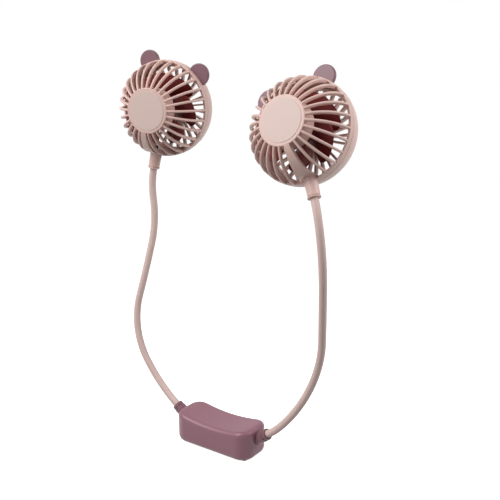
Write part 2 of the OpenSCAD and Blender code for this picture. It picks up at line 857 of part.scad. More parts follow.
module rear_bars() difference() {
    for (i = [0:rear_ribs - 1])
        slab((i + 0.5) * 360 / rear_ribs, rear_rib_t, badge_r - 2 * overrun, rear_hole_r + overrun / 2);
    lathe() grille_dome_2d(rear_rib_depth);
    along_y(2 * head_r, -4 * head_r, outlet_back / 2);
}

module rear_grille(side) color(shell_colour) at_head(side) intersection() {
    lathe() intersection() {
        rear_dome_2d(0);
        grille_dome_2d(0);
        translate([0, outlet_back - rear_plug_l]) square([head_r, rear_rise + 2 * rear_plug_l]);
    }
    union() {
        rear_bars();
        lathe() {
            translate([rear_hole_r, outlet_back + slip]) square([rear_rim_w, rear_rim_t]);
            translate([plug_r - rear_plug_t, outlet_back - rear_plug_l])
                square([rear_plug_t, rear_plug_l + rear_rim_t]);
        }
        along_y(badge_r, badge_y - rear_rib_depth, badge_y + overrun);
    }
}

module ears(side) color(ear_colour) at_head(side) ear_places() {
    difference() {
        translate([0, ear_y, ear_reach]) lathe() {
            translate([0, -ear_t / 2]) square([ear_r - ear_edge_r, ear_t]);
            translate([0, ear_edge_r - ear_t / 2]) square([ear_r, ear_t - 2 * ear_edge_r]);
            for (s = [-1, 1]) translate([ear_r - ear_edge_r, s * (ear_t / 2 - ear_edge_r)])
                circle(ear_edge_r, $fn = 24);
        }
        lathe() intersection() {
            union() {
                translate([rear_x, 0]) circle(rear_r + slip);
                translate([0, -ear_r]) square([rear_x, 2 * ear_r]);
            }
            translate([0, -ear_r]) square([2 * head_r, 2 * ear_r + ear_y]);
        }
    }
    translate([0, ear_y, head_r - peg_l]) cylinder(r = peg_r, h = peg_l + overrun);
}

module neck(side) color(shell_colour) at_neck(side) {
    rim = bead_h + bead_gap - neck_drop;
    difference() {
        union() {
            translate([0, 0, rim]) cylinder(r1 = neck_end_r, r2 = neck_r, h = -head_r - rim);
            translate([0, 0, -head_r]) cylinder(r = neck_r, h = neck_in);
            translate([0, 0, -neck_drop]) cylinder(r = sleeve_r, h = 2 * (bead_h + bead_gap));
        }
        translate([0, 0, -neck_drop - overrun]) cylinder(r = skin_r + slip, h = neck_l - skin_end + overrun);
        translate([0, 0, -neck_drop - overrun]) cylinder(r = core_r + slip, h = 2 * head_r);
    }
}

module at_neck(side) at_head(side) translate([0, -neck_front, 0]) children();

module neck_bead(side) color(shell_colour) at_neck(side) translate([0, 0, -neck_drop]) difference() {
    rotate_extrude() {
        round = bead_h / 2;
        square([bead_r - round, bead_h]);
        translate([bead_r - round, round]) circle(round, $fn = 24);
    }
    translate([0, 0, -overrun]) cylinder(r = sleeve_r + slip, h = bead_h + 2 * overrun);
}

// Motor and impeller

module motor(side) color(steel_colour) at_head(side) difference() {
    along_y(motor_r, motor_front, motor_back);
    along_y(shaft_r + slip, motor_back - shaft_in - fit, motor_back + overrun);
}

module motor_plate(side) color("dimgray") at_head(side) difference() {
    along_y(cup_r - cup_wall - slip, motor_back + slip, motor_back + slip + plate_t);
    along_y(plate_hole_r, motor_back, motor_back + plate_t + overrun);
}

module shaft(side) color(steel_colour) at_head(side) along_y(shaft_r, motor_back - shaft_in, shaft_back);

// A blade is a helical plate: rows run out from the hub and columns run from front to back.
// The outer rows follow the rounded corners at the tip.

function row_r(j) = j < blade_rows
    ? hub_r - overrun + (blade_tip_r - blade_round_r - hub_r + overrun) * j / (blade_rows - 1)
    : blade_tip_r - blade_round_r * (1 - sin(90 * (j - blade_rows + 1) / round_rows));

function row_inset(j) = j < blade_rows
    ? 0
    : blade_round_r * (1 - cos(90 * (j - blade_rows + 1) / round_rows));

function along_blade(j, i) = row_inset(j) + (blade_w - 2 * row_inset(j)) * i / (blade_columns - 1);

function blade_slope(j) = row_r(j) * blade_turn * PI / 180 / blade_w;

function blade_point(j, i, face) = let(
    y = along_blade(j, i),
    a = blade_turn * (y / blade_w - 1 / 2),
    slope = blade_slope(j),
    side = face * blade_t / 2 / sqrt(1 + slope * slope)
) [
    row_r(j) * sin(a) + side * cos(a),
    blade_front + y - side * slope,
    row_r(j) * cos(a) - side * sin(a)
];

function quad(a, b, c, d) = [[a, c, b], [a, d, c]];

module blade() {
    size = rows * blade_columns;
    at = function(face, j, i) face * size + j * blade_columns + i;
    inner = [0:rows - 2];
    points = [for (face = [-1, 1], j = [0:rows - 1], i = [0:blade_columns - 1]) blade_point(j, i, face)];
    faces = [
        for (j = inner, i = [0:blade_columns - 2])
            each quad(at(0, j, i), at(0, j + 1, i), at(0, j + 1, i + 1), at(0, j, i + 1)),
        for (j = inner, i = [0:blade_columns - 2])
            each quad(at(1, j, i), at(1, j, i + 1), at(1, j + 1, i + 1), at(1, j + 1, i)),
        for (j = inner) each quad(at(0, j, 0), at(1, j, 0), at(1, j + 1, 0), at(0, j + 1, 0)),
        for (j = inner) each quad(
            at(0, j, blade_columns - 1), at(0, j + 1, blade_columns - 1),
            at(1, j + 1, blade_columns - 1), at(1, j, blade_columns - 1)),
        for (i = [0:blade_columns - 2]) each quad(at(0, 0, i), at(0, 0, i + 1), at(1, 0, i + 1), at(1, 0, i)),
        for (i = [0:blade_columns - 2]) each quad(
            at(0, rows - 1, i), at(1, rows - 1, i), at(1, rows - 1, i + 1), at(0, rows - 1, i + 1))
    ];
    polyhedron(points, faces);
}

module impeller(side) color(fan_colour) at_head(side) sided(side) difference() {
    union() {
        along_y(hub_r, hub_front, hub_front + hub_l);
        for (i = [0:blades - 1]) rotate([0, fan_turn(side) + (i + 0.5) * 360 / blades, 0]) blade();
    }
    along_y(shaft_r + slip / 5, hub_front - overrun, shaft_back + slip);
}

case_tub();
nape_cover();
case_screws();
battery_cell();
cell_pad();
cell_tabs();
circuit_board();
board_parts();
button_switch();
charge_inlet();
power_button();
charge_lights();
gland(left);  // left_gland
gland(right);  // right_gland
core_length(left, 0, 0);  // left_core_1
core_length(left, 1, 1);  // left_core_2
core_length(left, 2, 2);  // left_core_3
core_length(left, 3, 3);  // left_core_4
core_length(left, 4, 4);  // left_core_5
core_length(left, 5, 5);  // left_core_6
core_length(right, 0, 0);  // right_core_1
core_length(right, 1, 1);  // right_core_2
core_length(right, 2, 2);  // right_core_3
core_length(right, 3, 3);  // right_core_4
core_length(right, 4, 4);  // right_core_5
core_length(right, 5, 5);  // right_core_6
skin(left);  // left_skin
skin(right);  // right_skin
lead(left);  // left_lead
lead(right);  // right_lead
front_grille(left);  // left_front_grille
face_cap(left);  // left_face_cap
rear_shell(left);  // left_rear_shell
rear_grille(left);  // left_rear_grille
ears(left);  // left_ears
neck(left);  // left_neck
neck_bead(left);  // left_neck_bead
motor(left);  // left_motor
motor_plate(left);  // left_motor_plate
shaft(left);  // left_shaft
impeller(left);  // left_impeller
front_grille(right);  // right_front_grille
face_cap(right);  // right_face_cap
rear_shell(right);  // right_rear_shell
rear_grille(right);  // right_rear_grille
ears(right);  // right_ears
neck(right);  // right_neck
neck_bead(right);  // right_neck_bead
motor(right);  // right_motor
motor_plate(right);  // right_motor_plate
shaft(right);  // right_shaft
impeller(right);  // right_impeller
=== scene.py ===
# Neck fan dressed around its CAD frame: lathed and swept shells, radial grilles and bending arms.
# Shapes are written in millimetres in their own frames and become metres when a mesh is made.
import bpy
import bmesh
import math
import numpy as np
from mathutils import Matrix, Vector


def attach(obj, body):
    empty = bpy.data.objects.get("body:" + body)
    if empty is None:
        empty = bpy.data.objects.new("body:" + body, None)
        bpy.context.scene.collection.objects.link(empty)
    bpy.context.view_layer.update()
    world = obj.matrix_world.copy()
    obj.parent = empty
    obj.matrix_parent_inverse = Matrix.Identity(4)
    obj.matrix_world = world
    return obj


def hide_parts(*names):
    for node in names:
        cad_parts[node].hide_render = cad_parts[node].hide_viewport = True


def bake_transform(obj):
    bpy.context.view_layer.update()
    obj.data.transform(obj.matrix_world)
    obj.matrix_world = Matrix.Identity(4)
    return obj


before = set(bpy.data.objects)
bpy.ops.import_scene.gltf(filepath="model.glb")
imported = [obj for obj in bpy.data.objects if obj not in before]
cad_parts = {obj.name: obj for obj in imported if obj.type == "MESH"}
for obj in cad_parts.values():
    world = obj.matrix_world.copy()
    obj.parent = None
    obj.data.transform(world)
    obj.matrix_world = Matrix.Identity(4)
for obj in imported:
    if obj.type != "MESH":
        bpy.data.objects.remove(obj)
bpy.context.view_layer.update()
print("stage: frame loaded")

mm = 0.001  # a millimetre in metres
slip = 0.05  # gap between pieces that sit in each other, in mm
fit = 0.1  # gap round pieces that snap in or move, in mm
noGap = -1.0  # an array's gap, in degrees, that leaves nothing out


def linear(value):
    return value / 12.92 if value <= 0.04045 else ((value + 0.055) / 1.055) ** 2.4


# A hex sRGB colour as linear RGBA
def colour(text):
    return [linear(int(text[i:i + 2], 16) / 255) for i in (1, 3, 5)] + [1.0]


# Adds a node with its settings. An input is a plain value, or an output that is linked to it.
def add(tree, kind, inputs=None, **settings):
    node = tree.nodes.new(kind)
    for key, value in settings.items():
        setattr(node, key, value)
    for key, value in (inputs or {}).items():
        if isinstance(value, bpy.types.NodeSocket):
            tree.links.new(value, node.inputs[key])
        else:
            node.inputs[key].default_value = value
    return node


# Materials

# Sizes of the surface patterns in mm, and how light scatters in soft plastic. The grain's height
# is a share of its size. The mottle is as wide as the flow marks of a moulding, about 17 mm.
surface = {
    "grainSize": 0.6, "grainDetail": 2, "grainHeight": 0.1, "mottleSize": 50 / 3, "mottleDetail": 3,
    "scatter": (1.0, 0.6, 0.5), "scatterDepth": 1.2, "coatRoughness": 0.25,
}


# One procedural finish. Grain is the strength of a fine bump, mottle a faint change of tone,
# and soft the share of light that is scattered under the surface.
def makeMaterial(name, base, roughness, metallic=0.0, grain=0.0, grainSize=surface["grainSize"],
                 mottle=0.0, coat=0.0, soft=0.0, clear=0.0):
    material = bpy.data.materials.new(name)
    material.use_nodes = True
    tree = material.node_tree
    shader = tree.nodes["Principled BSDF"]
    values = {
        "Base Color": colour(base), "Roughness": roughness, "Metallic": metallic,
        "Coat Weight": coat, "Coat Roughness": surface["coatRoughness"],
        "Transmission Weight": clear,
    }
    if soft:
        values["Subsurface Weight"] = soft
        values["Subsurface Radius"] = surface["scatter"]
        values["Subsurface Scale"] = surface["scatterDepth"] * mm
    for key, value in values.items():
        shader.inputs[key].default_value = value
    here = add(tree, "ShaderNodeTexCoord").outputs["Object"]
    if mottle:
        broad = add(tree, "ShaderNodeTexNoise", {
            "Vector": here, "Scale": 1 / (surface["mottleSize"] * mm),
            "Detail": surface["mottleDetail"],
        })
        tones = [[min(1.0, c * share) for c in colour(base)[:3]] + [1.0]
                 for share in (1 - mottle, 1 + mottle)]
        mix = add(tree, "ShaderNodeMix", {
            "Factor": broad.outputs["Fac"], "A": tones[0], "B": tones[1],
        }, data_type="RGBA")
        tree.links.new(mix.outputs["Result"], shader.inputs["Base Color"])
    if grain:
        fine = add(tree, "ShaderNodeTexNoise", {
            "Vector": here, "Scale": 1 / (grainSize * mm), "Detail": surface["grainDetail"],
        })
        bump = add(tree, "ShaderNodeBump", {
            "Strength": grain, "Distance": grainSize * mm * surface["grainHeight"],
            "Height": fine.outputs["Fac"],
        })
        tree.links.new(bump.outputs["Normal"], shader.inputs["Normal"])
    return material


# Colours are those of the object in even light. The real grain of the mouldings is about 0.05 mm
# and wouldn't show, so it is drawn 0.6 mm wide and faint.
finishes = {
    # ABS moulded in a sparked tool: satin, with one wide soft highlight along the top edge
    "caseMauve": makeMaterial("MouldedMauveAbs", "#936370", 0.4, grain=0.08, mottle=0.015),
    # The same ABS in a deeper tone and a rougher tool: ears, collars and button look duller
    "trimMauve": makeMaterial("MouldedDeepMauveAbs", "#7d5660", 0.45, grain=0.08),
    # ABS with much white pigment, moulded smooth: light bleeds a little round the thin ribs
    "shellPink": makeMaterial("MouldedPinkAbs", "#e2c0b6", 0.42, grain=0.05, mottle=0.01, soft=0.1),
    # ABS caps of the faces, moulded apart with a matt front: plain and evenly lit
    "capPink": makeMaterial("MattPinkAbs", "#dec5bc", 0.5, grain=0.05, mottle=0.01),
    # Silicone rubber drawn over the gooseneck: matt, soft in the shade, no sharp highlight
    "silicone": makeMaterial(
        "DrawnPinkSilicone", "#e3c7c0", 0.55, grain=0.04, mottle=0.015, soft=0.15),
    # Polypropylene dyed through and moulded smooth: deep red that stays dark behind the ribs
    "fanRed": makeMaterial("MouldedBurgundyPolypropylene", "#741c1b", 0.5),
    # Spring steel wound to a gooseneck: grey metal with a broad sheen
    "coreSteel": makeMaterial("WoundSpringSteel", "#a6a8aa", 0.35, metallic=1.0),
    # Turned steel screws: darker, oiled grey
    "screwSteel": makeMaterial("TurnedSteel", "#8d9093", 0.32, metallic=1.0),
    # Drawn steel with nickel plating: the brightest metal, with clear reflections
    "inletSteel": makeMaterial("NickelPlatedSteel", "#b4b7ba", 0.25, metallic=1.0),
    # Deep-drawn steel can of the motor: even grey
    "motorSteel": makeMaterial("DrawnSteelCan", "#9a9da0", 0.3, metallic=1.0),
    # Aluminium laminate pressed round the cell: shallow waves of 2 mm break up its shine
    "cellFoil": makeMaterial("LaminatedFoil", "#b9bcbe", 0.3, metallic=1.0, grain=0.3, grainSize=2),
    # Rolled nickel strip: plain pale metal
    "tabMetal": makeMaterial("RolledNickel", "#c4c5c2", 0.3, metallic=1.0),
    # Cut polyurethane foam with 0.4 mm cells: dark and without shine
    "foam": makeMaterial("CutFoam", "#4b4b4d", 0.9, grain=0.6, grainSize=0.4),
    # Glass epoxy under solder mask: green with a lacquered gloss
    "boardGreen": makeMaterial("SolderMask", "#23543a", 0.35, coat=0.3),
    # Epoxy moulded round the components: flat black
    "partBlack": makeMaterial("MouldedEpoxy", "#2a2a2c", 0.5),
    # Polished polycarbonate: clear, with the inside showing pale
    "clearLight": makeMaterial("ClearPolycarbonate", "#e9ecec", 0.12, clear=0.7),
    # Extruded vinyl round the motor's lead: dull black
    "leadBlack": makeMaterial("ExtrudedVinyl", "#1f1d1e", 0.5),
}
print("stage: materials")


# Meshes

# Angles in degrees past which an edge is rounded or shaded sharp, and how near points merge
edges = {"rounded": 30, "shadedSharp": 50, "segments": 3, "merge": 1e-5}


def linked(name, data):
    made = bpy.data.objects.new(name, data)
    bpy.context.collection.objects.link(made)
    return made


# The mesh as its modifiers leave it
def evaluated(obj):
    bpy.context.view_layer.update()
    graph = bpy.context.evaluated_depsgraph_get()
    return bpy.data.meshes.new_from_object(obj.evaluated_get(graph))


# A place in millimetres as a matrix for a mesh in metres
def inMetres(place):
    matrix = np.array(place, float)
    matrix[:3, 3] *= mm
    return Matrix(matrix.tolist())


# A plain mesh from millimetre points, with its sharp edges rounded
def makeMesh(name, points, faces, place=None, bevel=0.0):
    mesh = bpy.data.meshes.new(name)
    mesh.from_pydata([tuple(p) for p in points], [], faces)
    shape = bmesh.new()
    shape.from_mesh(mesh)
    bmesh.ops.remove_doubles(shape, verts=shape.verts, dist=edges["merge"])
    bmesh.ops.recalc_face_normals(shape, faces=shape.faces)
    if bevel:
        least = math.radians(edges["rounded"])
        sharp = [e for e in shape.edges if len(e.link_faces) == 2 and e.calc_face_angle(0) > least]
        bmesh.ops.bevel(
            shape, geom=sharp, offset=bevel, segments=edges["segments"], profile=0.5,
            affect="EDGES", clamp_overlap=True)
    matrix = Matrix(np.diag([mm, mm, mm, 1.0]).tolist())
    if place is not None:
        matrix = matrix @ Matrix(np.asarray(place).tolist())
    bmesh.ops.transform(shape, matrix=matrix, verts=shape.verts)
    shape.to_mesh(mesh)
    shape.free()
    mesh.polygons.foreach_set("use_smooth", [True] * len(mesh.polygons))
    mesh.set_sharp_from_angle(angle=math.radians(edges["shadedSharp"]))
    return linked(name, mesh)


# Applies what modifiers are left, weighs the normals by area and sets the finish
def finished(obj, material):
    weigh = obj.modifiers.new("Weigh", "WEIGHTED_NORMAL")
    weigh.keep_sharp = True
    mesh = evaluated(obj)
    mesh.name = obj.name
    obj.modifiers.clear()
    obj.data = mesh
    mesh.materials.clear()
    mesh.materials.append(material)
    return obj


# Finishes a piece that takes the place of one CAD node and moves with one body
def shown(piece, node, body, finish):
    finished(piece, finishes[finish])
    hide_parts(node)
    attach(piece, body)


def joined(name, *objs):
    shape = bmesh.new()
    for o in objs:
        shape.from_mesh(o.data)
    mesh = bpy.data.meshes.new(name)
    shape.to_mesh(mesh)
    shape.free()
    for o in objs:
        bpy.data.objects.remove(o)
    mesh.set_sharp_from_angle(angle=math.radians(edges["shadedSharp"]))
    return linked(name, mesh)


# Turns a closed profile of (radius, along) points about the local Y axis
def lathe(name, profile, place, steps=144, bevel=0.25):
    onAxis = 1e-6
    count = len(profile)
    points, faces = [], []
    for i in range(steps):
        a = 2 * math.pi * i / steps
        points += [(r * math.sin(a), y, r * math.cos(a)) for r, y in profile]
    for i in range(steps):
        here, there = i * count, (i + 1) % steps * count
        for j in range(count):
            k = (j + 1) % count
            if profile[j][0] < onAxis and profile[k][0] < onAxis:
                continue
            faces.append((here + j, here + k, there + k, there + j))
    return makeMesh(name, points, faces, place, bevel)


def cylinder(name, radius, start, end, place, steps=48):
    profile = [(0, start), (radius, start), (radius, end), (0, end)]
    return lathe(name, profile, place, steps, bevel=0)


# Points of a circle from one angle to another, in degrees
def arc(centre, radius, fromAngle, toAngle, steps):
    angles = np.radians(np.linspace(fromAngle, toAngle, steps + 1))
    return [(centre[0] + radius * math.cos(a), centre[1] + radius * math.sin(a)) for a in angles]


# A closed cross-section of (across, deep) points with rounded corners
def roundedBox(half, low, high, radius, steps=4):
    out = []
    corners = ((half - radius, high - radius), (radius - half, high - radius),
               (radius - half, low + radius), (half - radius, low + radius))
    for quarter, corner in enumerate(corners):
        out += arc(corner, radius, 90 * quarter, 90 * quarter + 90, steps)
    return out


# Joins rows of points, each a closed loop, into a skin that is closed at both ends
def loft(name, rows, place=None, bevel=0.0):
    count, last = len(rows[0]), len(rows) - 1
    faces = []
    for i in range(last):
        for j in range(count):
            k = (j + 1) % count
            faces.append((i * count + j, i * count + k, (i + 1) * count + k, (i + 1) * count + j))
    faces += [tuple(range(count)), tuple(range(last * count, (last + 1) * count))]
    return makeMesh(name, [p for row in rows for p in row], faces, place, bevel)


# Sweeps a section of (across, deep) points along a circle of the local YZ plane.
# The circle's middle lies at a distance out from the axis and at a level along it.
def meridian(name, section, out, level, radius, fromAngle, toAngle, steps):
    rows = []
    for i in range(steps + 1):
        a = math.radians(fromAngle + (toAngle - fromAngle) * i / steps)
        rows.append([
            (x, level - (radius - d) * math.sin(a), out + (radius - d) * math.cos(a))
            for x, d in section
        ])
    return loft(name, rows)


# Radial arrays by Geometry Nodes

# Turns copies of a piece about the local Y axis, from the first angle on, and leaves out
# those that are nearer than the gap to straight down
def radialArray():
    group = bpy.data.node_groups.new("RadialArray", "GeometryNodeTree")
    group.is_modifier = True
    face = group.interface
    face.new_socket("Geometry", in_out="INPUT", socket_type="NodeSocketGeometry")
    inputs = {"Count": "Int", "First": "Float", "Gap": "Float", "Finish": "Material"}
    for name, kind in inputs.items():
        face.new_socket(name, in_out="INPUT", socket_type="NodeSocket" + kind)
    face.new_socket("Geometry", in_out="OUTPUT", socket_type="NodeSocketGeometry")
    given = add(group, "NodeGroupInput").outputs
    points = add(group, "GeometryNodePoints", {"Count": given["Count"]})
    index = add(group, "GeometryNodeInputIndex")
    pitch = add(group, "ShaderNodeMath", {0: 360, 1: given["Count"]}, operation="DIVIDE")
    step = add(group, "ShaderNodeMath", {
        0: index.outputs[0], 1: pitch.outputs[0], 2: given["First"],
    }, operation="MULTIPLY_ADD")
    around = add(group, "ShaderNodeMath", {0: step.outputs[0], 1: 180}, operation="PINGPONG")
    away = add(group, "ShaderNodeMath", {0: 180, 1: around.outputs[0]}, operation="SUBTRACT")
    clear = add(group, "ShaderNodeMath", {
        0: away.outputs[0], 1: given["Gap"],
    }, operation="GREATER_THAN")
    radians = add(group, "ShaderNodeMath", {0: step.outputs[0]}, operation="RADIANS")
    spin = add(group, "ShaderNodeCombineXYZ", {"Y": radians.outputs[0]})
    copies = add(group, "GeometryNodeInstanceOnPoints", {
        "Points": points.outputs[0], "Selection": clear.outputs[0],
        "Instance": given["Geometry"], "Rotation": spin.outputs[0],
    })
    real = add(group, "GeometryNodeRealizeInstances", {"Geometry": copies.outputs[0]})
    paint = add(group, "GeometryNodeSetMaterial", {
        "Geometry": real.outputs[0], "Material": given["Finish"],
    })
    add(group, "NodeGroupOutput", {"Geometry": paint.outputs[0]})
    return group


arrayGroup = radialArray()


# Makes the copies in the piece's own frame, then puts them in place as one plain mesh
def arrayed(obj, place, count, first, gap, material):
    change = obj.modifiers.new("Array", "NODES")
    change.node_group = arrayGroup
    values = {"Count": count, "First": first, "Gap": gap, "Finish": material}
    for item in arrayGroup.interface.items_tree:
        if item.in_out == "INPUT" and item.name in values:
            change[item.identifier] = values[item.name]
    mesh = evaluated(obj)
    obj.modifiers.clear()
    mesh.transform(inMetres(place))
    obj.data = mesh
    return obj


# Places

# The arms as worn: bend lengths in mm, bends towards the other arm and to the front in degrees,
# and how far to each side of a pivot a bend is spread
arms = {
    "lengths": (14.2, 35, 60, 48, 40, 27),
    "right": {
        "side": 1, "turn": 9,
        "inward": (12, 15, 20, 1, 15, 20), "front": (-1, -3, 19, 0, -12, -19),
    },
    "left": {
        "side": -1, "turn": -11,
        "inward": (8, 16, 43, -4, -14, 20), "front": (1, 1, -13, -1, 13, -3),
    },
    "skinOuter": 3.1, "skinInner": 2.25, "coreOuter": 2.0, "coreInner": 1.1, "lead": 0.8,
    "reach": 13.0,
}
# The collar where an arm leaves the pack: where it starts and rises, its stub and its foot inside
gland = {
    "x": 37.5, "z": -6.3, "rise": 34, "stub": 12.8, "radius": 5.0, "step": 0.25, "inside": 8.05,
    "groove": 9.4, "grooveWide": 0.8, "grooveDeep": 0.6, "flange": 6.2, "flangeThick": 1.2,
    "seat": 2, "cut": (-10, 14),
}
armLength = sum(arms["lengths"])
flip = np.diag([-1.0, 1.0, 1.0, 1.0])


def move(x, y, z):
    m = np.eye(4)
    m[:3, 3] = (x, y, z)
    return m


def turn(axis, degrees):
    return np.array(Matrix.Rotation(math.radians(degrees), 4, axis))


# The place reached after a share of one round bend
def bendPart(length, inward, front, share):
    angle, plane = math.hypot(inward, front), math.degrees(math.atan2(front, inward))
    radius = math.degrees(length / angle)
    part = angle * share
    a = math.radians(part)
    centre = move(radius * (1 - math.cos(a)), 0, radius * math.sin(a))
    return turn("Z", plane) @ centre @ turn("Y", part) @ turn("Z", -plane)


def glandPlace(which):
    start = move(gland["x"], 0, gland["z"]) @ turn("Y", 90 - gland["rise"]) @ turn("Z", 180)
    return (flip if arms[which]["side"] < 0 else np.eye(4)) @ start


# The place at a distance along an arm, counted from its gland's end
def armPlace(which, along):
    data = arms[which]
    m = glandPlace(which) @ move(0, 0, gland["stub"])
    if along <= 0:
        return m @ move(0, 0, along)
    for length, inward, front in zip(arms["lengths"], data["inward"], data["front"]):
        if along <= length:
            return m @ bendPart(length, inward, front, along / length)
        m = m @ bendPart(length, inward, front, 1)
        along -= length
    return m @ move(0, 0, along)


# Heads

# A ball-shaped front with a flat face, a rim ring and a cup for the motor,
# and a ball-shaped rear shell with a lip in the ring
head = {
    "radius": 40, "dome": 31.3, "face": 30, "faceThick": 2.4, "faceRim": 0.7, "rimArc": 1.3,
    "rimStep": 0.1, "rear": 33.8, "outlet": 14, "wall": 1.7, "ringInner": 38.4, "ringFront": 3.4,
    "ringBack": 0.8, "seam": 0.12, "lipThick": 1.3, "lipLong": 2.4, "lipRoot": 1, "cup": 17.6,
    "cupWall": 1.5, "cupDepth": 15, "cap": 15.9, "capProud": 0.3, "capSink": 0.65, "badge": 9,
}
domeX = head["radius"] - head["dome"]
rearX = head["radius"] - head["rear"]
faceAngle = math.degrees(math.asin(head["face"] / head["dome"]))
outletRadius = rearX + math.sqrt(head["rear"] ** 2 - head["outlet"] ** 2)

# The socket under a head, its bead ring, and the lead's way from it to the motor
neck = {
    "length": 13, "set": 1, "top": 5.0, "end": 4.7, "front": 3, "inside": 5, "bead": 5.1,
    "beadTall": 1.3, "beadGap": 0.4, "sleeve": 3.9, "skinEnd": 4.4, "leadDip": 2.0, "leadGap": 0.15,
    "leadTurns": (32, 46, 60),
}


def headPlace(which):
    m = armPlace(which, armLength) @ move(0, 0, neck["length"] + head["radius"] - neck["set"])
    m = m @ turn("Z", 180 + arms[which]["turn"]) @ move(0, neck["front"], 0)
    return m @ flip if arms[which]["side"] < 0 else m


# The angle on a ball at which it lies a distance along the axis
def angleAt(radius, along):
    return math.degrees(math.asin(along / radius))


strap = {
    "angle": 15, "thick": 3.2, "pad": 6.3, "end": 37.2, "flare": 33.0, "edge": 0.16,
    "edgeDrop": 0.8, "overlap": 1.0, "across": 16, "steps": 60,
}


# The strap from the face down to the neck: a patch of the dome, thick inwards, that widens to a pad
# with a flat lower end
def strapMesh(name, place):
    across, steps, rows = strap["across"], strap["steps"], []
    section = [(-1 + 2 * i / across, 0.0) for i in range(across + 1)]
    section += [(1 - 2 * i / across, strap["thick"]) for i in range(across + 1)]
    narrow = math.tan(math.radians(strap["angle"] / 2))
    for i in range(steps + 1):
        a = math.radians((faceAngle - strap["overlap"]) * (1 - i / steps))
        row = []
        for share, deep in section:
            edge = max(0.0, abs(share) - (1 - strap["edge"])) / strap["edge"]
            r = head["dome"] - deep - (strap["edgeDrop"] * edge * edge if deep == 0 else 0)
            out = domeX + r * math.cos(a)
            flare = min(1.0, max(0.0, (out - strap["flare"]) / (strap["end"] - strap["flare"])))
            flare *= flare * (3 - 2 * flare)
            half = out * narrow * (1 - flare) + strap["pad"] * flare
            row.append((half * share, -r * math.sin(a), min(out, strap["end"])))
        rows.append(row)
    return loft(name, rows, place @ turn("Y", 180), bevel=0.4)


# Ribs of the front, which run a little under the face and into the ring
frontRibs = {
    "count": 28, "thick": 2.0, "depth": 3.0, "round": 0.92, "underFace": 1.5, "pastRing": 1.2,
    "steps": 40, "rightPhase": 0.5, "leftPhase": 0.0,
}


def makeFront(which, place):
    front = -head["face"]
    inside, deep = front + head["faceThick"], front + head["cupDepth"]
    rim = arc((domeX, 0), head["dome"], -faceAngle, -faceAngle + head["rimArc"], steps=3)
    rimRadius = domeX + head["dome"] * math.cos(math.radians(faceAngle)) + head["faceRim"]
    cupInner = head["cup"] - head["cupWall"]
    disc = lathe(which + "Disc", [(0, front)] + rim + [
        (rimRadius, rim[-1][1] + head["rimStep"]), (rimRadius, inside), (head["cup"], inside),
        (head["cup"], deep), (cupInner, deep), (cupInner, inside), (0, inside),
    ], place, bevel=0.3)
    ringArc = arc((domeX, 0), head["dome"], -angleAt(head["dome"], head["ringFront"]), 0, steps=6)
    ring = lathe(which + "Ring", ringArc + [
        (head["radius"], head["ringBack"]), (head["ringInner"], head["ringBack"]),
        (head["ringInner"], ringArc[0][1]),
    ], place, steps=192, bevel=0.3)
    section = roundedBox(
        frontRibs["thick"] / 2, 0, frontRibs["depth"], frontRibs["round"], steps=5)
    rib = meridian(
        which + "Rib", section, domeX, 0, head["dome"], faceAngle - frontRibs["underFace"],
        frontRibs["pastRing"], frontRibs["steps"])
    phase = frontRibs[which + "Phase"] * 360 / frontRibs["count"]
    gap = strap["angle"] / 2 + 90 / frontRibs["count"]  # half the strap and a quarter of a step
    ribs = arrayed(rib, place, frontRibs["count"], phase, gap, finishes["shellPink"])
    grille = joined(which + "FrontGrille", disc, ring, ribs, strapMesh(which + "Strap", place))
    shown(grille, which + "_front_grille", which + "_head", "shellPink")

    capTop, capBottom = front - head["capProud"], front + head["capSink"]
    cap = lathe(which + "FaceCap", [
        (0, capTop), (head["cap"], capTop), (head["cap"], capBottom), (0, capBottom),
    ], place, bevel=0.2)
    shown(cap, which + "_face_cap", which + "_head", "capPink")


# The rear grille: bars on a shallow dome between a badge and a ring that plugs into the shell
rearRibs = {
    "count": 28, "thick": 1.5, "depth": 4.4, "round": 0.5, "rise": 7, "plugThick": 1.2,
    "plugLong": 2.4, "rimFoot": 0.15, "rimTop": 0.4, "underBadge": 1, "steps": 12,
}
grilleRadius = (outletRadius ** 2 + rearRibs["rise"] ** 2) / (2 * rearRibs["rise"])
grilleLevel = head["outlet"] + rearRibs["rise"] - grilleRadius


def grilleY(r):
    return grilleLevel + math.sqrt(grilleRadius ** 2 - r ** 2)


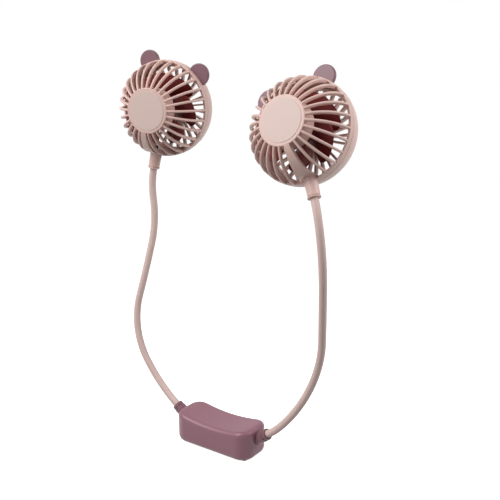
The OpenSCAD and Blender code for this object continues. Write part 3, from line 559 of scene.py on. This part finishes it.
def makeRear(which, place):
    first = head["ringBack"] + head["seam"]
    inner = head["rear"] - head["wall"]
    outer, outlet = head["rear"], head["outlet"]
    profile = arc((rearX, 0), outer, angleAt(outer, first), angleAt(outer, outlet), steps=24)
    profile += arc((rearX, 0), inner, angleAt(inner, outlet), angleAt(inner, first), steps=24)
    lipOuter, lipEnd = head["ringInner"] - slip, first - head["lipLong"]
    lipInner = lipOuter - head["lipThick"]
    profile += [(lipOuter, first), (lipOuter, lipEnd), (lipInner, lipEnd)]
    profile.append((lipInner, first + head["lipRoot"]))
    shell = lathe(which + "RearShell", profile, place, steps=192, bevel=0.22)
    shown(shell, which + "_rear_shell", which + "_head", "shellPink")

    plug = outletRadius - head["wall"] - fit
    plugInner, plugEnd = plug - rearRibs["plugThick"], outlet - rearRibs["plugLong"]
    low = outlet + slip
    rimFoot, rimTop = outletRadius - rearRibs["rimFoot"], outletRadius - rearRibs["rimTop"]
    rim = [(plugInner, plugEnd), (plug, plugEnd), (plug, low), (rimFoot, low)]
    rim += [(r, grilleY(r)) for r in np.linspace(rimTop, plugInner, 5)]
    rearRing = lathe(which + "RearRing", rim, place, steps=192, bevel=0.2)
    top = [(r, grilleY(r)) for r in np.linspace(head["badge"], 0, 6)]
    back = top[0][1] - rearRibs["depth"]
    badge = lathe(which + "Badge", [(0, back), (head["badge"], back)] + top, place, bevel=0.4)
    section = roundedBox(rearRibs["thick"] / 2, 0, rearRibs["depth"], rearRibs["round"], steps=3)
    ends = [-math.degrees(math.acos(r / grilleRadius))
            for r in (head["badge"] - rearRibs["underBadge"], plug - rearRibs["plugThick"] / 2)]
    bar = meridian(which + "Bar", section, 0, grilleLevel, grilleRadius, *ends, rearRibs["steps"])
    count = rearRibs["count"]
    bars = arrayed(bar, place, count, 180 / count, noGap, finishes["shellPink"])
    rear = joined(which + "RearGrille", rearRing, badge, bars)
    shown(rear, which + "_rear_grille", which + "_head", "shellPink")


# Discs that stand out of the ring, each cut flat below where it sits in the shell
ears = {"radius": 9.2, "thick": 3.0, "out": 1.7, "angle": 35, "back": 3, "round": 0.9, "sunk": 1.2}


def makeEars(which, place):
    pair = []
    t, r, reach = ears["thick"] / 2, ears["radius"], head["radius"] + ears["out"]
    for s in (-1, 1):
        profile = [(0, -t), (r, -t), (r, t), (0, t)]
        ear = lathe(which + "Ear%d" % (s + 1), profile, None, steps=96, bevel=ears["round"])
        trim = bmesh.new()
        trim.from_mesh(ear.data)
        kept = bmesh.ops.bisect_plane(
            trim, geom=trim.verts[:] + trim.edges[:] + trim.faces[:], plane_no=(0, 0, -1),
            plane_co=(0, 0, (head["radius"] - ears["sunk"] - reach) * mm), clear_outer=True)
        rimEdges = [g for g in kept["geom_cut"] if isinstance(g, bmesh.types.BMEdge)]
        bmesh.ops.contextual_create(trim, geom=rimEdges)
        m = inMetres(place @ turn("Y", s * ears["angle"]) @ move(0, ears["back"], reach))
        bmesh.ops.transform(trim, matrix=m, verts=trim.verts)
        bmesh.ops.recalc_face_normals(trim, faces=trim.faces)
        trim.to_mesh(ear.data)
        trim.free()
        pair.append(ear)
    both = joined(which + "Ears", *pair)
    shown(both, which + "_ears", which + "_head", "trimMauve")


def makeNeck(which, place):
    axis = place @ move(0, -neck["front"], 0) @ turn("X", 90)
    bottom = neck["set"] - neck["length"] - head["radius"]
    beadTop = bottom + neck["beadTall"]
    top, rim = neck["inside"] - head["radius"], beadTop + neck["beadGap"]
    bore, core = arms["skinOuter"] + slip, arms["coreOuter"] + slip
    skinTop = bottom + neck["length"] - neck["skinEnd"]
    tube = lathe(which + "Neck", [
        (core, top), (neck["top"], top), (neck["top"], -head["radius"]), (neck["end"], rim),
        (neck["sleeve"], rim), (neck["sleeve"], bottom), (bore, bottom), (bore, skinTop),
        (core, skinTop),
    ], axis, steps=64, bevel=0.2)
    shown(tube, which + "_neck", which + "_head", "shellPink")
    hole = neck["sleeve"] + slip
    bead = lathe(which + "NeckBead", [
        (hole, bottom), (neck["bead"], bottom), (neck["bead"], beadTop), (hole, beadTop),
    ], axis, steps=64, bevel=0.45)
    shown(bead, which + "_neck_bead", which + "_head", "shellPink")


# Blades turn by an angle over their width, and start sunk in the hub
fan = {
    "blades": 6, "tip": 29.6, "hub": 10.5, "hubLong": 14, "bore": 1.01, "front": -11.45, "set": 3,
    "sunk": 1, "width": 17, "turn": 62, "thick": 1.4, "round": 5, "straightRows": 12,
    "roundRows": 10, "columns": 18, "leftTurn": 50, "rightTurn": 45,
}


# One helical blade with rounded tip corners, built standing up from the hub
def bladeMesh(name):
    straight, rounding, columns = fan["straightRows"], fan["roundRows"], fan["columns"]
    root, bend = fan["hub"] - fan["sunk"], fan["tip"] - fan["round"]
    radii = [root + (bend - root) * j / (straight - 1) for j in range(straight)]
    insets = [0.0] * straight
    for k in range(1, rounding + 1):
        a = math.radians(90 * k / rounding)
        radii.append(fan["tip"] - fan["round"] * (1 - math.sin(a)))
        insets.append(fan["round"] * (1 - math.cos(a)))
    loops = []
    for r, inset in zip(radii, insets):
        slope = r * math.radians(fan["turn"]) / fan["width"]
        loop = []
        for face in (-1, 1):
            side = face * fan["thick"] / 2 / math.sqrt(1 + slope * slope)
            half = []
            for i in range(columns):
                y = inset + (fan["width"] - 2 * inset) * i / (columns - 1)
                a = math.radians(fan["turn"] * (y / fan["width"] - 0.5))
                half.append((r * math.sin(a) + side * math.cos(a), fan["front"] + y - side * slope,
                             r * math.cos(a) - side * math.sin(a)))
            loop += half[::face]
        loops.append(loop)
    return loft(name, loops, bevel=0.3)


def makeImpeller(which, place):
    front = fan["front"] - fan["set"]
    back = front + fan["hubLong"]
    hub = lathe(which + "Hub", [
        (fan["bore"], front), (fan["hub"], front), (fan["hub"], back), (fan["bore"], back),
    ], place, steps=96, bevel=0.8)
    first = fan[which + "Turn"] + 180 / fan["blades"]
    blade = bladeMesh(which + "Blade")
    blades = arrayed(blade, place, fan["blades"], first, noGap, finishes["fanRed"])
    impeller = joined(which + "Impeller", hub, blades)
    shown(impeller, which + "_impeller", which + "_impeller", "fanRed")


# The motor lead from the top of the neck, behind the strap and into the cup
def makeLeadEnd(which, place, sides=16):
    r = arms["lead"]
    line = head["dome"] - frontRibs["depth"] - r - neck["leadGap"]
    start = neck["inside"] - head["radius"]
    turns = [(-neck["front"], start), (-neck["front"], start + neck["leadDip"])]
    for a in np.radians(neck["leadTurns"]):
        turns.append((-line * math.sin(a), -domeX - line * math.cos(a)))
    turns.append((turns[-1][0], head["cupWall"] + r - head["cup"]))
    rows = []
    for i, (y, z) in enumerate(turns):
        before, after = turns[max(0, i - 1)], turns[min(len(turns) - 1, i + 1)]
        lean = math.atan2(after[1] - before[1], after[0] - before[0])
        rows.append([
            (r * math.cos(a), y - r * math.sin(a) * math.sin(lean),
             z + r * math.sin(a) * math.cos(lean))
            for a in np.linspace(0, 2 * math.pi, sides + 1)[:-1]
        ])
    leadEnd = loft(which + "LeadEnd", rows, place)
    shown(leadEnd, which + "_lead", which + "_head", "leadBlack")


for which in ("left", "right"):
    spot = headPlace(which)
    makeFront(which, spot)
    makeRear(which, spot)
    makeEars(which, spot)
    makeNeck(which, spot)
    makeImpeller(which, spot)
    makeLeadEnd(which, spot)
print("stage: heads")


# Arms: each layer is cut at the middle of the stiff lengths, so that each piece holds one pivot

pivots = np.cumsum(arms["lengths"])[:-1]
cuts = [float(a + b) / 2 for a, b in zip(pivots[:-1], pivots[1:])]


# A round tube along the arm from one distance to another, open inside where inner isn't zero
def tubePiece(name, which, start, end, outer, inner, step=1.2, around=40):
    rings = max(2, int(round((end - start) / step)))
    places = [armPlace(which, start + (end - start) * i / rings) for i in range(rings + 1)]
    angles = [2 * math.pi * i / around for i in range(around)]
    points, faces = [], []
    for r in (outer, inner) if inner else (outer,):
        for m in places:
            points += [tuple((m @ (r * math.cos(a), r * math.sin(a), 0, 1))[:3]) for a in angles]
    size = (rings + 1) * around
    for i in range(rings):
        for j in range(around):
            k = (j + 1) % around
            here, there = i * around, (i + 1) * around
            faces.append((here + j, here + k, there + k, there + j))
            if inner:
                faces.append((size + here + j, size + there + j, size + there + k, size + here + k))
    for base in (0, rings * around):
        if inner:
            for j in range(around):
                k = (j + 1) % around
                faces.append((base + j, base + k, size + base + k, size + base + j))
        else:
            faces.append(tuple(range(base, base + around)))
    return makeMesh(name, points, faces)


def makeArm(which):
    skinFirst = gland["seat"] + slip - gland["stub"]
    skinLast = armLength + neck["length"] - neck["skinEnd"] - slip
    coreFirst = slip - gland["stub"] - gland["inside"]
    coreLast = armLength + neck["length"] + neck["inside"] - neck["set"]
    leadFirst = coreFirst - gland["flangeThick"]
    layers = (
        ("Skin", arms["skinOuter"], arms["skinInner"], skinFirst, skinLast, "silicone",
         "skin_silicone"),
        ("Core", arms["coreOuter"], arms["coreInner"], coreFirst, coreLast, "coreSteel",
         "core_steel"),
        ("Lead", arms["lead"], 0, leadFirst, coreLast, "leadBlack", "lead_black"),
    )
    for layer, outer, inner, first, last, finish, slot in layers:
        ends = [first] + cuts + [last]
        for i in range(len(pivots)):
            name = "%s%s%d" % (which, layer, i + 1)
            piece = tubePiece(name, which, ends[i], ends[i + 1], outer, inner)
            finished(piece, finishes[finish])
            nodes = [which + "_" + layer.lower()]
            if layer == "Core":
                nodes = [which + "_core_%d" % n for n in ((5, 6) if i == 4 else (i + 1,))]
            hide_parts(*nodes)
            low = armPlace(which, pivots[i] - arms["reach"])[:3, 3] * mm
            high = armPlace(which, pivots[i] + arms["reach"])[:3, 3] * mm
            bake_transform(piece)


for which in ("left", "right"):
    makeArm(which)
print("stage: arms")


# Power pack

# A tub and a nape cover, with a hollow top, round corners seen from above and a rounded foot and
# edge. The parts are how many faces run along its long and short sides and round its corners.
case = {
    "length": 77, "depth": 35, "floor": -23, "top": 3.5, "sag": 5, "blend": 0.25, "corner": 12,
    "foot": 5.5, "edge": 4.5, "wall": 1.8, "cover": 2.6, "seam": 0.12, "postRadius": 3.1,
    "postX": 31.87, "postY": 10.87, "postFoot": 1, "postTop": -12.4, "seat": 4, "headHole": 2.0,
    "screwHole": 1.1, "headCut": (-1, 3.5), "wallCut": (-3, 1), "longParts": 48, "shortParts": 8,
    "cornerParts": 14,
}
saddleRadius = ((case["length"] / 2) ** 2 + case["sag"] ** 2) / (2 * case["sag"])
cornerX, cornerY = case["length"] / 2 - case["corner"], case["depth"] / 2 - case["corner"]


# Height of the top at a distance from the middle: the hollow's circle, blended into the flat ends
def topAt(x):
    hollow = saddleRadius - math.sqrt(saddleRadius ** 2 - x * x)
    b = case["blend"]
    return case["top"] - b * math.log(1 + math.exp((case["top"] - hollow) / b))


# The case's outline, drawn in by an offset, with the same number of points for every offset
def outline(offset):
    x, y, r = cornerX, cornerY, case["corner"] - offset
    long, short = case["longParts"], case["shortParts"]
    middles = ((x, y, long), (-x, y, short), (-x, -y, long), (x, -y, short))
    out = []
    for quarter, (cx, cy, count) in enumerate(middles):
        end = 90 * quarter + 90
        out += arc((cx, cy), r, end - 90, end, case["cornerParts"])
        nx, ny, a = *middles[(quarter + 1) % 4][:2], math.radians(end)
        here, there = out[-1], (nx + r * math.cos(a), ny + r * math.sin(a))
        for i in range(1, count):
            out.append(tuple(h + (t - h) * i / count for h, t in zip(here, there)))
    return out


# A shell of the case from rings of (offset, height function), with a grid that closes each end
def caseShell(name, rings):
    long, short = case["longParts"], case["shortParts"]
    points, faces = [], []
    for offset, height in rings:
        points += [(x, y, height(x)) for x, y in outline(offset)]
    count = len(points) // len(rings)
    for i in range(len(rings) - 1):
        for j in range(count):
            k = (j + 1) % count
            faces.append((i * count + j, i * count + k, (i + 1) * count + k, (i + 1) * count + j))
    for offset, height in (rings[0], rings[-1]):
        base = len(points)
        for i in range(long + 1):
            x = -cornerX + 2 * cornerX * i / long
            points += [(x, -cornerY + 2 * cornerY * j / short, height(x)) for j in range(short + 1)]
        for i in range(long):
            for j in range(short):
                a = base + i * (short + 1) + j
                faces.append((a, a + 1, a + short + 2, a + short + 1))
    return makeMesh(name, points, faces)


# Heights along the case: flat, a depth below the top, or a share of the way up the side
def level(z):
    return lambda x: z


def below(depth):
    return lambda x: topAt(x) - depth


def rise(share):
    low = case["floor"] + case["foot"]
    return lambda x: low + (topAt(x) - case["edge"] - low) * share


# Rings round the upper edge from one angle to another
def edgeRings(inset, fromAngle, toAngle, steps):
    edge = case["edge"] - inset
    rings = []
    for i in range(steps + 1):
        a = fromAngle + (toAngle - fromAngle) * i / steps
        rings.append((inset + edge * (1 - math.cos(a)), below(case["edge"] - edge * math.sin(a))))
    return rings


def partingAngle(inset, parting):
    return math.asin((case["edge"] - parting) / (case["edge"] - inset))


# The case's side from the middle of its underside to the parting, or back down on the inside
def sideRings(inset, parting, footSteps=10, wallSteps=6):
    foot, floor = case["foot"] - inset, case["floor"] + inset
    flat = case["corner"] - case["foot"]
    rings = [(case["corner"] - flat * i / 3, level(floor)) for i in range(3)]
    for i in range(footSteps + 1):
        a = math.radians(90 * i / footSteps)
        rings.append((inset + foot * (1 - math.sin(a)), level(floor + foot * (1 - math.cos(a)))))
    rings += [(inset, rise(i / wallSteps)) for i in range(1, wallSteps + 1)]
    return rings + edgeRings(inset, 0, partingAngle(inset, parting), steps=5)[1:]


# The cover's surface from the parting to the middle of the top
def coverRings(inset, parting):
    flat = case["corner"] - case["edge"]
    rings = edgeRings(inset, partingAngle(inset, parting), math.pi / 2, steps=8)
    return rings + [(case["edge"] + flat * i / 4, below(inset)) for i in range(1, 5)]


# The places of the four screws, with a name for each
def screwPlaces():
    for sx in (-1, 1):
        for sy in (-1, 1):
            place = move(sx * case["postX"], sy * case["postY"], case["floor"]) @ turn("X", 90)
            yield "%d%d" % (sx + 1, sy + 1), place


# What lies in the rear wall: the button, the inlet and the charge lights
button = {
    "radius": 3.2, "proud": 0.8, "flange": 3.9, "flangeThick": 0.8, "stem": 1.4, "stemLong": 0.5,
    "crown": ((0.9, 0.02), (2, 0.18), (3.2, 0.25)), "z": -8.97,
}
inlet = {"x": 14, "wide": 9.24, "tall": 3.56, "round": 1.779}
lights = {"x": -16, "pitch": 2.4, "count": 4, "radius": 0.85}


# Everything that is cut out of the tub, as one object
def tubCutter():
    inner, outer = (case["depth"] / 2 + end for end in case["wallCut"])
    parts = []
    for which in ("left", "right"):
        place, radius = glandPlace(which) @ turn("X", 90), gland["radius"] + slip
        parts.append(cylinder(which + "GlandHole", radius, *gland["cut"], place, steps=96))
    middle = move(0, 0, button["z"])
    parts.append(cylinder("ButtonHole", button["radius"] + fit, inner, outer, middle, steps=64))
    for i in range(lights["count"]):
        place = move(lights["x"] + i * lights["pitch"], 0, button["z"])
        parts.append(cylinder("LightHole%d" % i, lights["radius"], inner, outer, place, steps=32))
    wide, tall = inlet["wide"] / 2, inlet["tall"] / 2
    slot = roundedBox(wide, -tall, tall, inlet["round"], steps=10)
    rows = [[(inlet["x"] + x, y, button["z"] + z) for x, z in slot] for y in (inner, outer)]
    parts.append(loft("InletHole", rows))
    for name, place in screwPlaces():
        parts.append(cylinder("ScrewHole" + name, case["headHole"], *case["headCut"], place))
    return joined("TubCutter", *parts)


def makeCase():
    parting = case["cover"] + case["seam"]
    tub = caseShell("PackTub", sideRings(0, parting) + sideRings(case["wall"], parting)[::-1])
    cutter = tubCutter()
    cut = tub.modifiers.new("Cut", "BOOLEAN")
    cut.object, cut.solver = cutter, "EXACT"
    finished(tub, finishes["caseMauve"])
    bpy.data.objects.remove(cutter)
    foot, tall, seat = case["postFoot"], case["postTop"] - case["floor"], case["seat"]
    wide, narrow = case["headHole"], case["screwHole"]
    posts = [lathe("Post" + name, [
        (wide, foot), (case["postRadius"], foot), (case["postRadius"], tall), (narrow, tall),
        (narrow, seat), (wide, seat),
    ], place, steps=48, bevel=0.1) for name, place in screwPlaces()]
    tub = joined("PackTub", tub, *posts)
    shown(tub, "case_tub", "power_pack", "caseMauve")
    rings = coverRings(case["wall"], case["cover"])[::-1] + coverRings(0, case["cover"])
    cover = caseShell("NapeCover", rings)
    shown(cover, "nape_cover", "power_pack", "caseMauve")


# A button with a flange inside the wall, a stem on the switch and a slightly crowned top
def makeButton():
    wall = case["depth"] / 2 - case["wall"] - slip
    flange, top = wall - button["flangeThick"], case["depth"] / 2 + button["proud"]
    stemEnd, r = flange - button["stemLong"], button["radius"]
    crown = [(r - inset, top - drop) for inset, drop in button["crown"]]
    press = lathe("PowerButton", [
        (0, stemEnd), (button["stem"], stemEnd), (button["stem"], flange),
        (button["flange"], flange), (button["flange"], wall), (r, wall), (r, top),
    ] + crown, move(0, 0, button["z"]), steps=96)
    shown(press, "power_button", "button", "trimMauve")


def makeGland(which):
    along = glandPlace(which) @ turn("X", 90)
    r, inside, stub, seat = gland["radius"], -gland["inside"], gland["stub"], gland["seat"]
    footEnd, flange, end = inside - gland["flangeThick"], gland["flange"], r - gland["step"]
    groove, after = gland["groove"], gland["groove"] + gland["grooveWide"]
    core, bore, deep = arms["coreOuter"] + slip, arms["skinOuter"] + slip, r - gland["grooveDeep"]
    piece = lathe(which + "Gland", [
        (core, footEnd), (flange, footEnd), (flange, inside), (r, inside), (r, groove),
        (deep, groove), (deep, after), (end, after), (end, stub), (bore, stub), (bore, seat),
        (core, seat),
    ], along, steps=96, bevel=0.3)
    shown(piece, which + "_gland", "power_pack", "trimMauve")


makeCase()
makeButton()
for which in ("left", "right"):
    makeGland(which)

# Inner pieces that stay as the CAD frame has them
cadFinishes = {
    "case_screws": "screwSteel", "battery_cell": "cellFoil", "cell_pad": "foam",
    "cell_tabs": "tabMetal", "circuit_board": "boardGreen", "board_parts": "partBlack",
    "button_switch": "partBlack", "charge_inlet": "inletSteel", "charge_lights": "clearLight",
    "left_motor": "motorSteel", "right_motor": "motorSteel", "left_shaft": "motorSteel",
    "right_shaft": "motorSteel", "left_motor_plate": "partBlack", "right_motor_plate": "partBlack",
}
for node, finish in cadFinishes.items():
    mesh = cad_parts[node].data
    mesh.materials.clear()
    mesh.materials.append(finishes[finish])
print("stage: pack")


# Light, floor and camera

# Area lamps that face one target: places and sizes in metres, power in watts
lampTarget = (0.0, 0.0, 0.15)
lamps = {
    "KeyLight": {"at": (-0.42, -0.6, 0.93), "size": (0.6, 0.6), "power": 8.8},
    "FrontLight": {"at": (-0.3, -1.1, 0.4), "size": (0.8, 0.5), "power": 1.8},
    "RimLight": {"at": (0.56, 0.22, 0.52), "size": (0.3, 0.4), "power": 2.4},
}
for name, lamp in lamps.items():
    data = bpy.data.lights.new(name, "AREA")
    data.shape = "RECTANGLE"
    data.size, data.size_y = lamp["size"]
    data.energy = lamp["power"]
    made = linked(name, data)
    made.location = lamp["at"]
    made.rotation_mode = "QUATERNION"
    made.rotation_quaternion = (Vector(lampTarget) - Vector(lamp["at"])).to_track_quat("-Z", "Y")

# Room is the world's light on the object, and bounce how pale the floor is for that light.
# Paper and glow are the floor's colour and own light as seen: white, with a soft shadow.
studio = {"room": 0.17, "backdrop": 1.0, "size": 3000, "paper": 0.8, "glow": 0.87, "bounce": 0.25}


# How far a ray counts as seen: by the camera, in a mirror or through glass
def seen(tree):
    path = add(tree, "ShaderNodeLightPath")
    value = path.outputs["Is Camera Ray"]
    for name in ("Is Glossy Ray", "Is Transmission Ray"):
        most = add(tree, "ShaderNodeMath", {0: value, 1: path.outputs[name]}, operation="MAXIMUM")
        value = most.outputs[0]
    return value


def grey(value):
    return (value, value, value, 1.0)


world = bpy.data.worlds.new("SoftRoom")
bpy.context.scene.world = world
world.use_nodes = True
tree = world.node_tree
tree.nodes.clear()
room = add(tree, "ShaderNodeBackground", {"Color": grey(1.0), "Strength": studio["room"]})
backdrop = add(tree, "ShaderNodeBackground", {"Color": grey(1.0), "Strength": studio["backdrop"]})
mixed = add(tree, "ShaderNodeMixShader", {
    0: seen(tree), 1: room.outputs[0], 2: backdrop.outputs[0],
})
add(tree, "ShaderNodeOutputWorld", {"Surface": mixed.outputs[0]})

pale = bpy.data.materials.new("PaleFloor")
pale.use_nodes = True
tree = pale.node_tree
tree.nodes.clear()
paper = add(tree, "ShaderNodeBsdfDiffuse", {"Color": grey(studio["bounce"])})
shaded = add(tree, "ShaderNodeBsdfDiffuse", {"Color": grey(studio["paper"])})
glow = add(tree, "ShaderNodeEmission", {"Strength": studio["glow"]})
both = add(tree, "ShaderNodeAddShader", {0: shaded.outputs[0], 1: glow.outputs[0]})
mixed = add(tree, "ShaderNodeMixShader", {0: seen(tree), 1: paper.outputs[0], 2: both.outputs[0]})
add(tree, "ShaderNodeOutputMaterial", {"Surface": mixed.outputs[0]})
half, low = studio["size"] / 2, case["floor"] - slip
corners = [(-half, -half, low), (half, -half, low), (half, half, low), (-half, half, low)]
ground = makeMesh("Floor", corners, [(0, 1, 2, 3)])
ground.data.materials.append(pale)

# The camera as in the photo: angles in degrees, target and distance in metres, lens in mm
camera = {
    "azimuth": 35.066, "elevation": 14.32, "target": (0.030298, 0.0, 0.153375),
    "distance": 0.60509, "lens": 55.8, "clip": (0.01, 20),
}
scene = bpy.context.scene
scene.view_settings.view_transform = "Standard"
a, e = math.radians(camera["azimuth"]), math.radians(camera["elevation"])
back = Vector((math.sin(a) * math.cos(e), -math.cos(a) * math.cos(e), math.sin(e)))
eye = linked("Camera", bpy.data.cameras.new("Camera"))
eye.data.lens = camera["lens"]
eye.data.clip_start, eye.data.clip_end = camera["clip"]
eye.location = Vector(camera["target"]) + back * camera["distance"]
eye.rotation_mode = "QUATERNION"
eye.rotation_quaternion = (-back).to_track_quat("-Z", "Y")
scene.camera = eye
print("stage: light and camera")
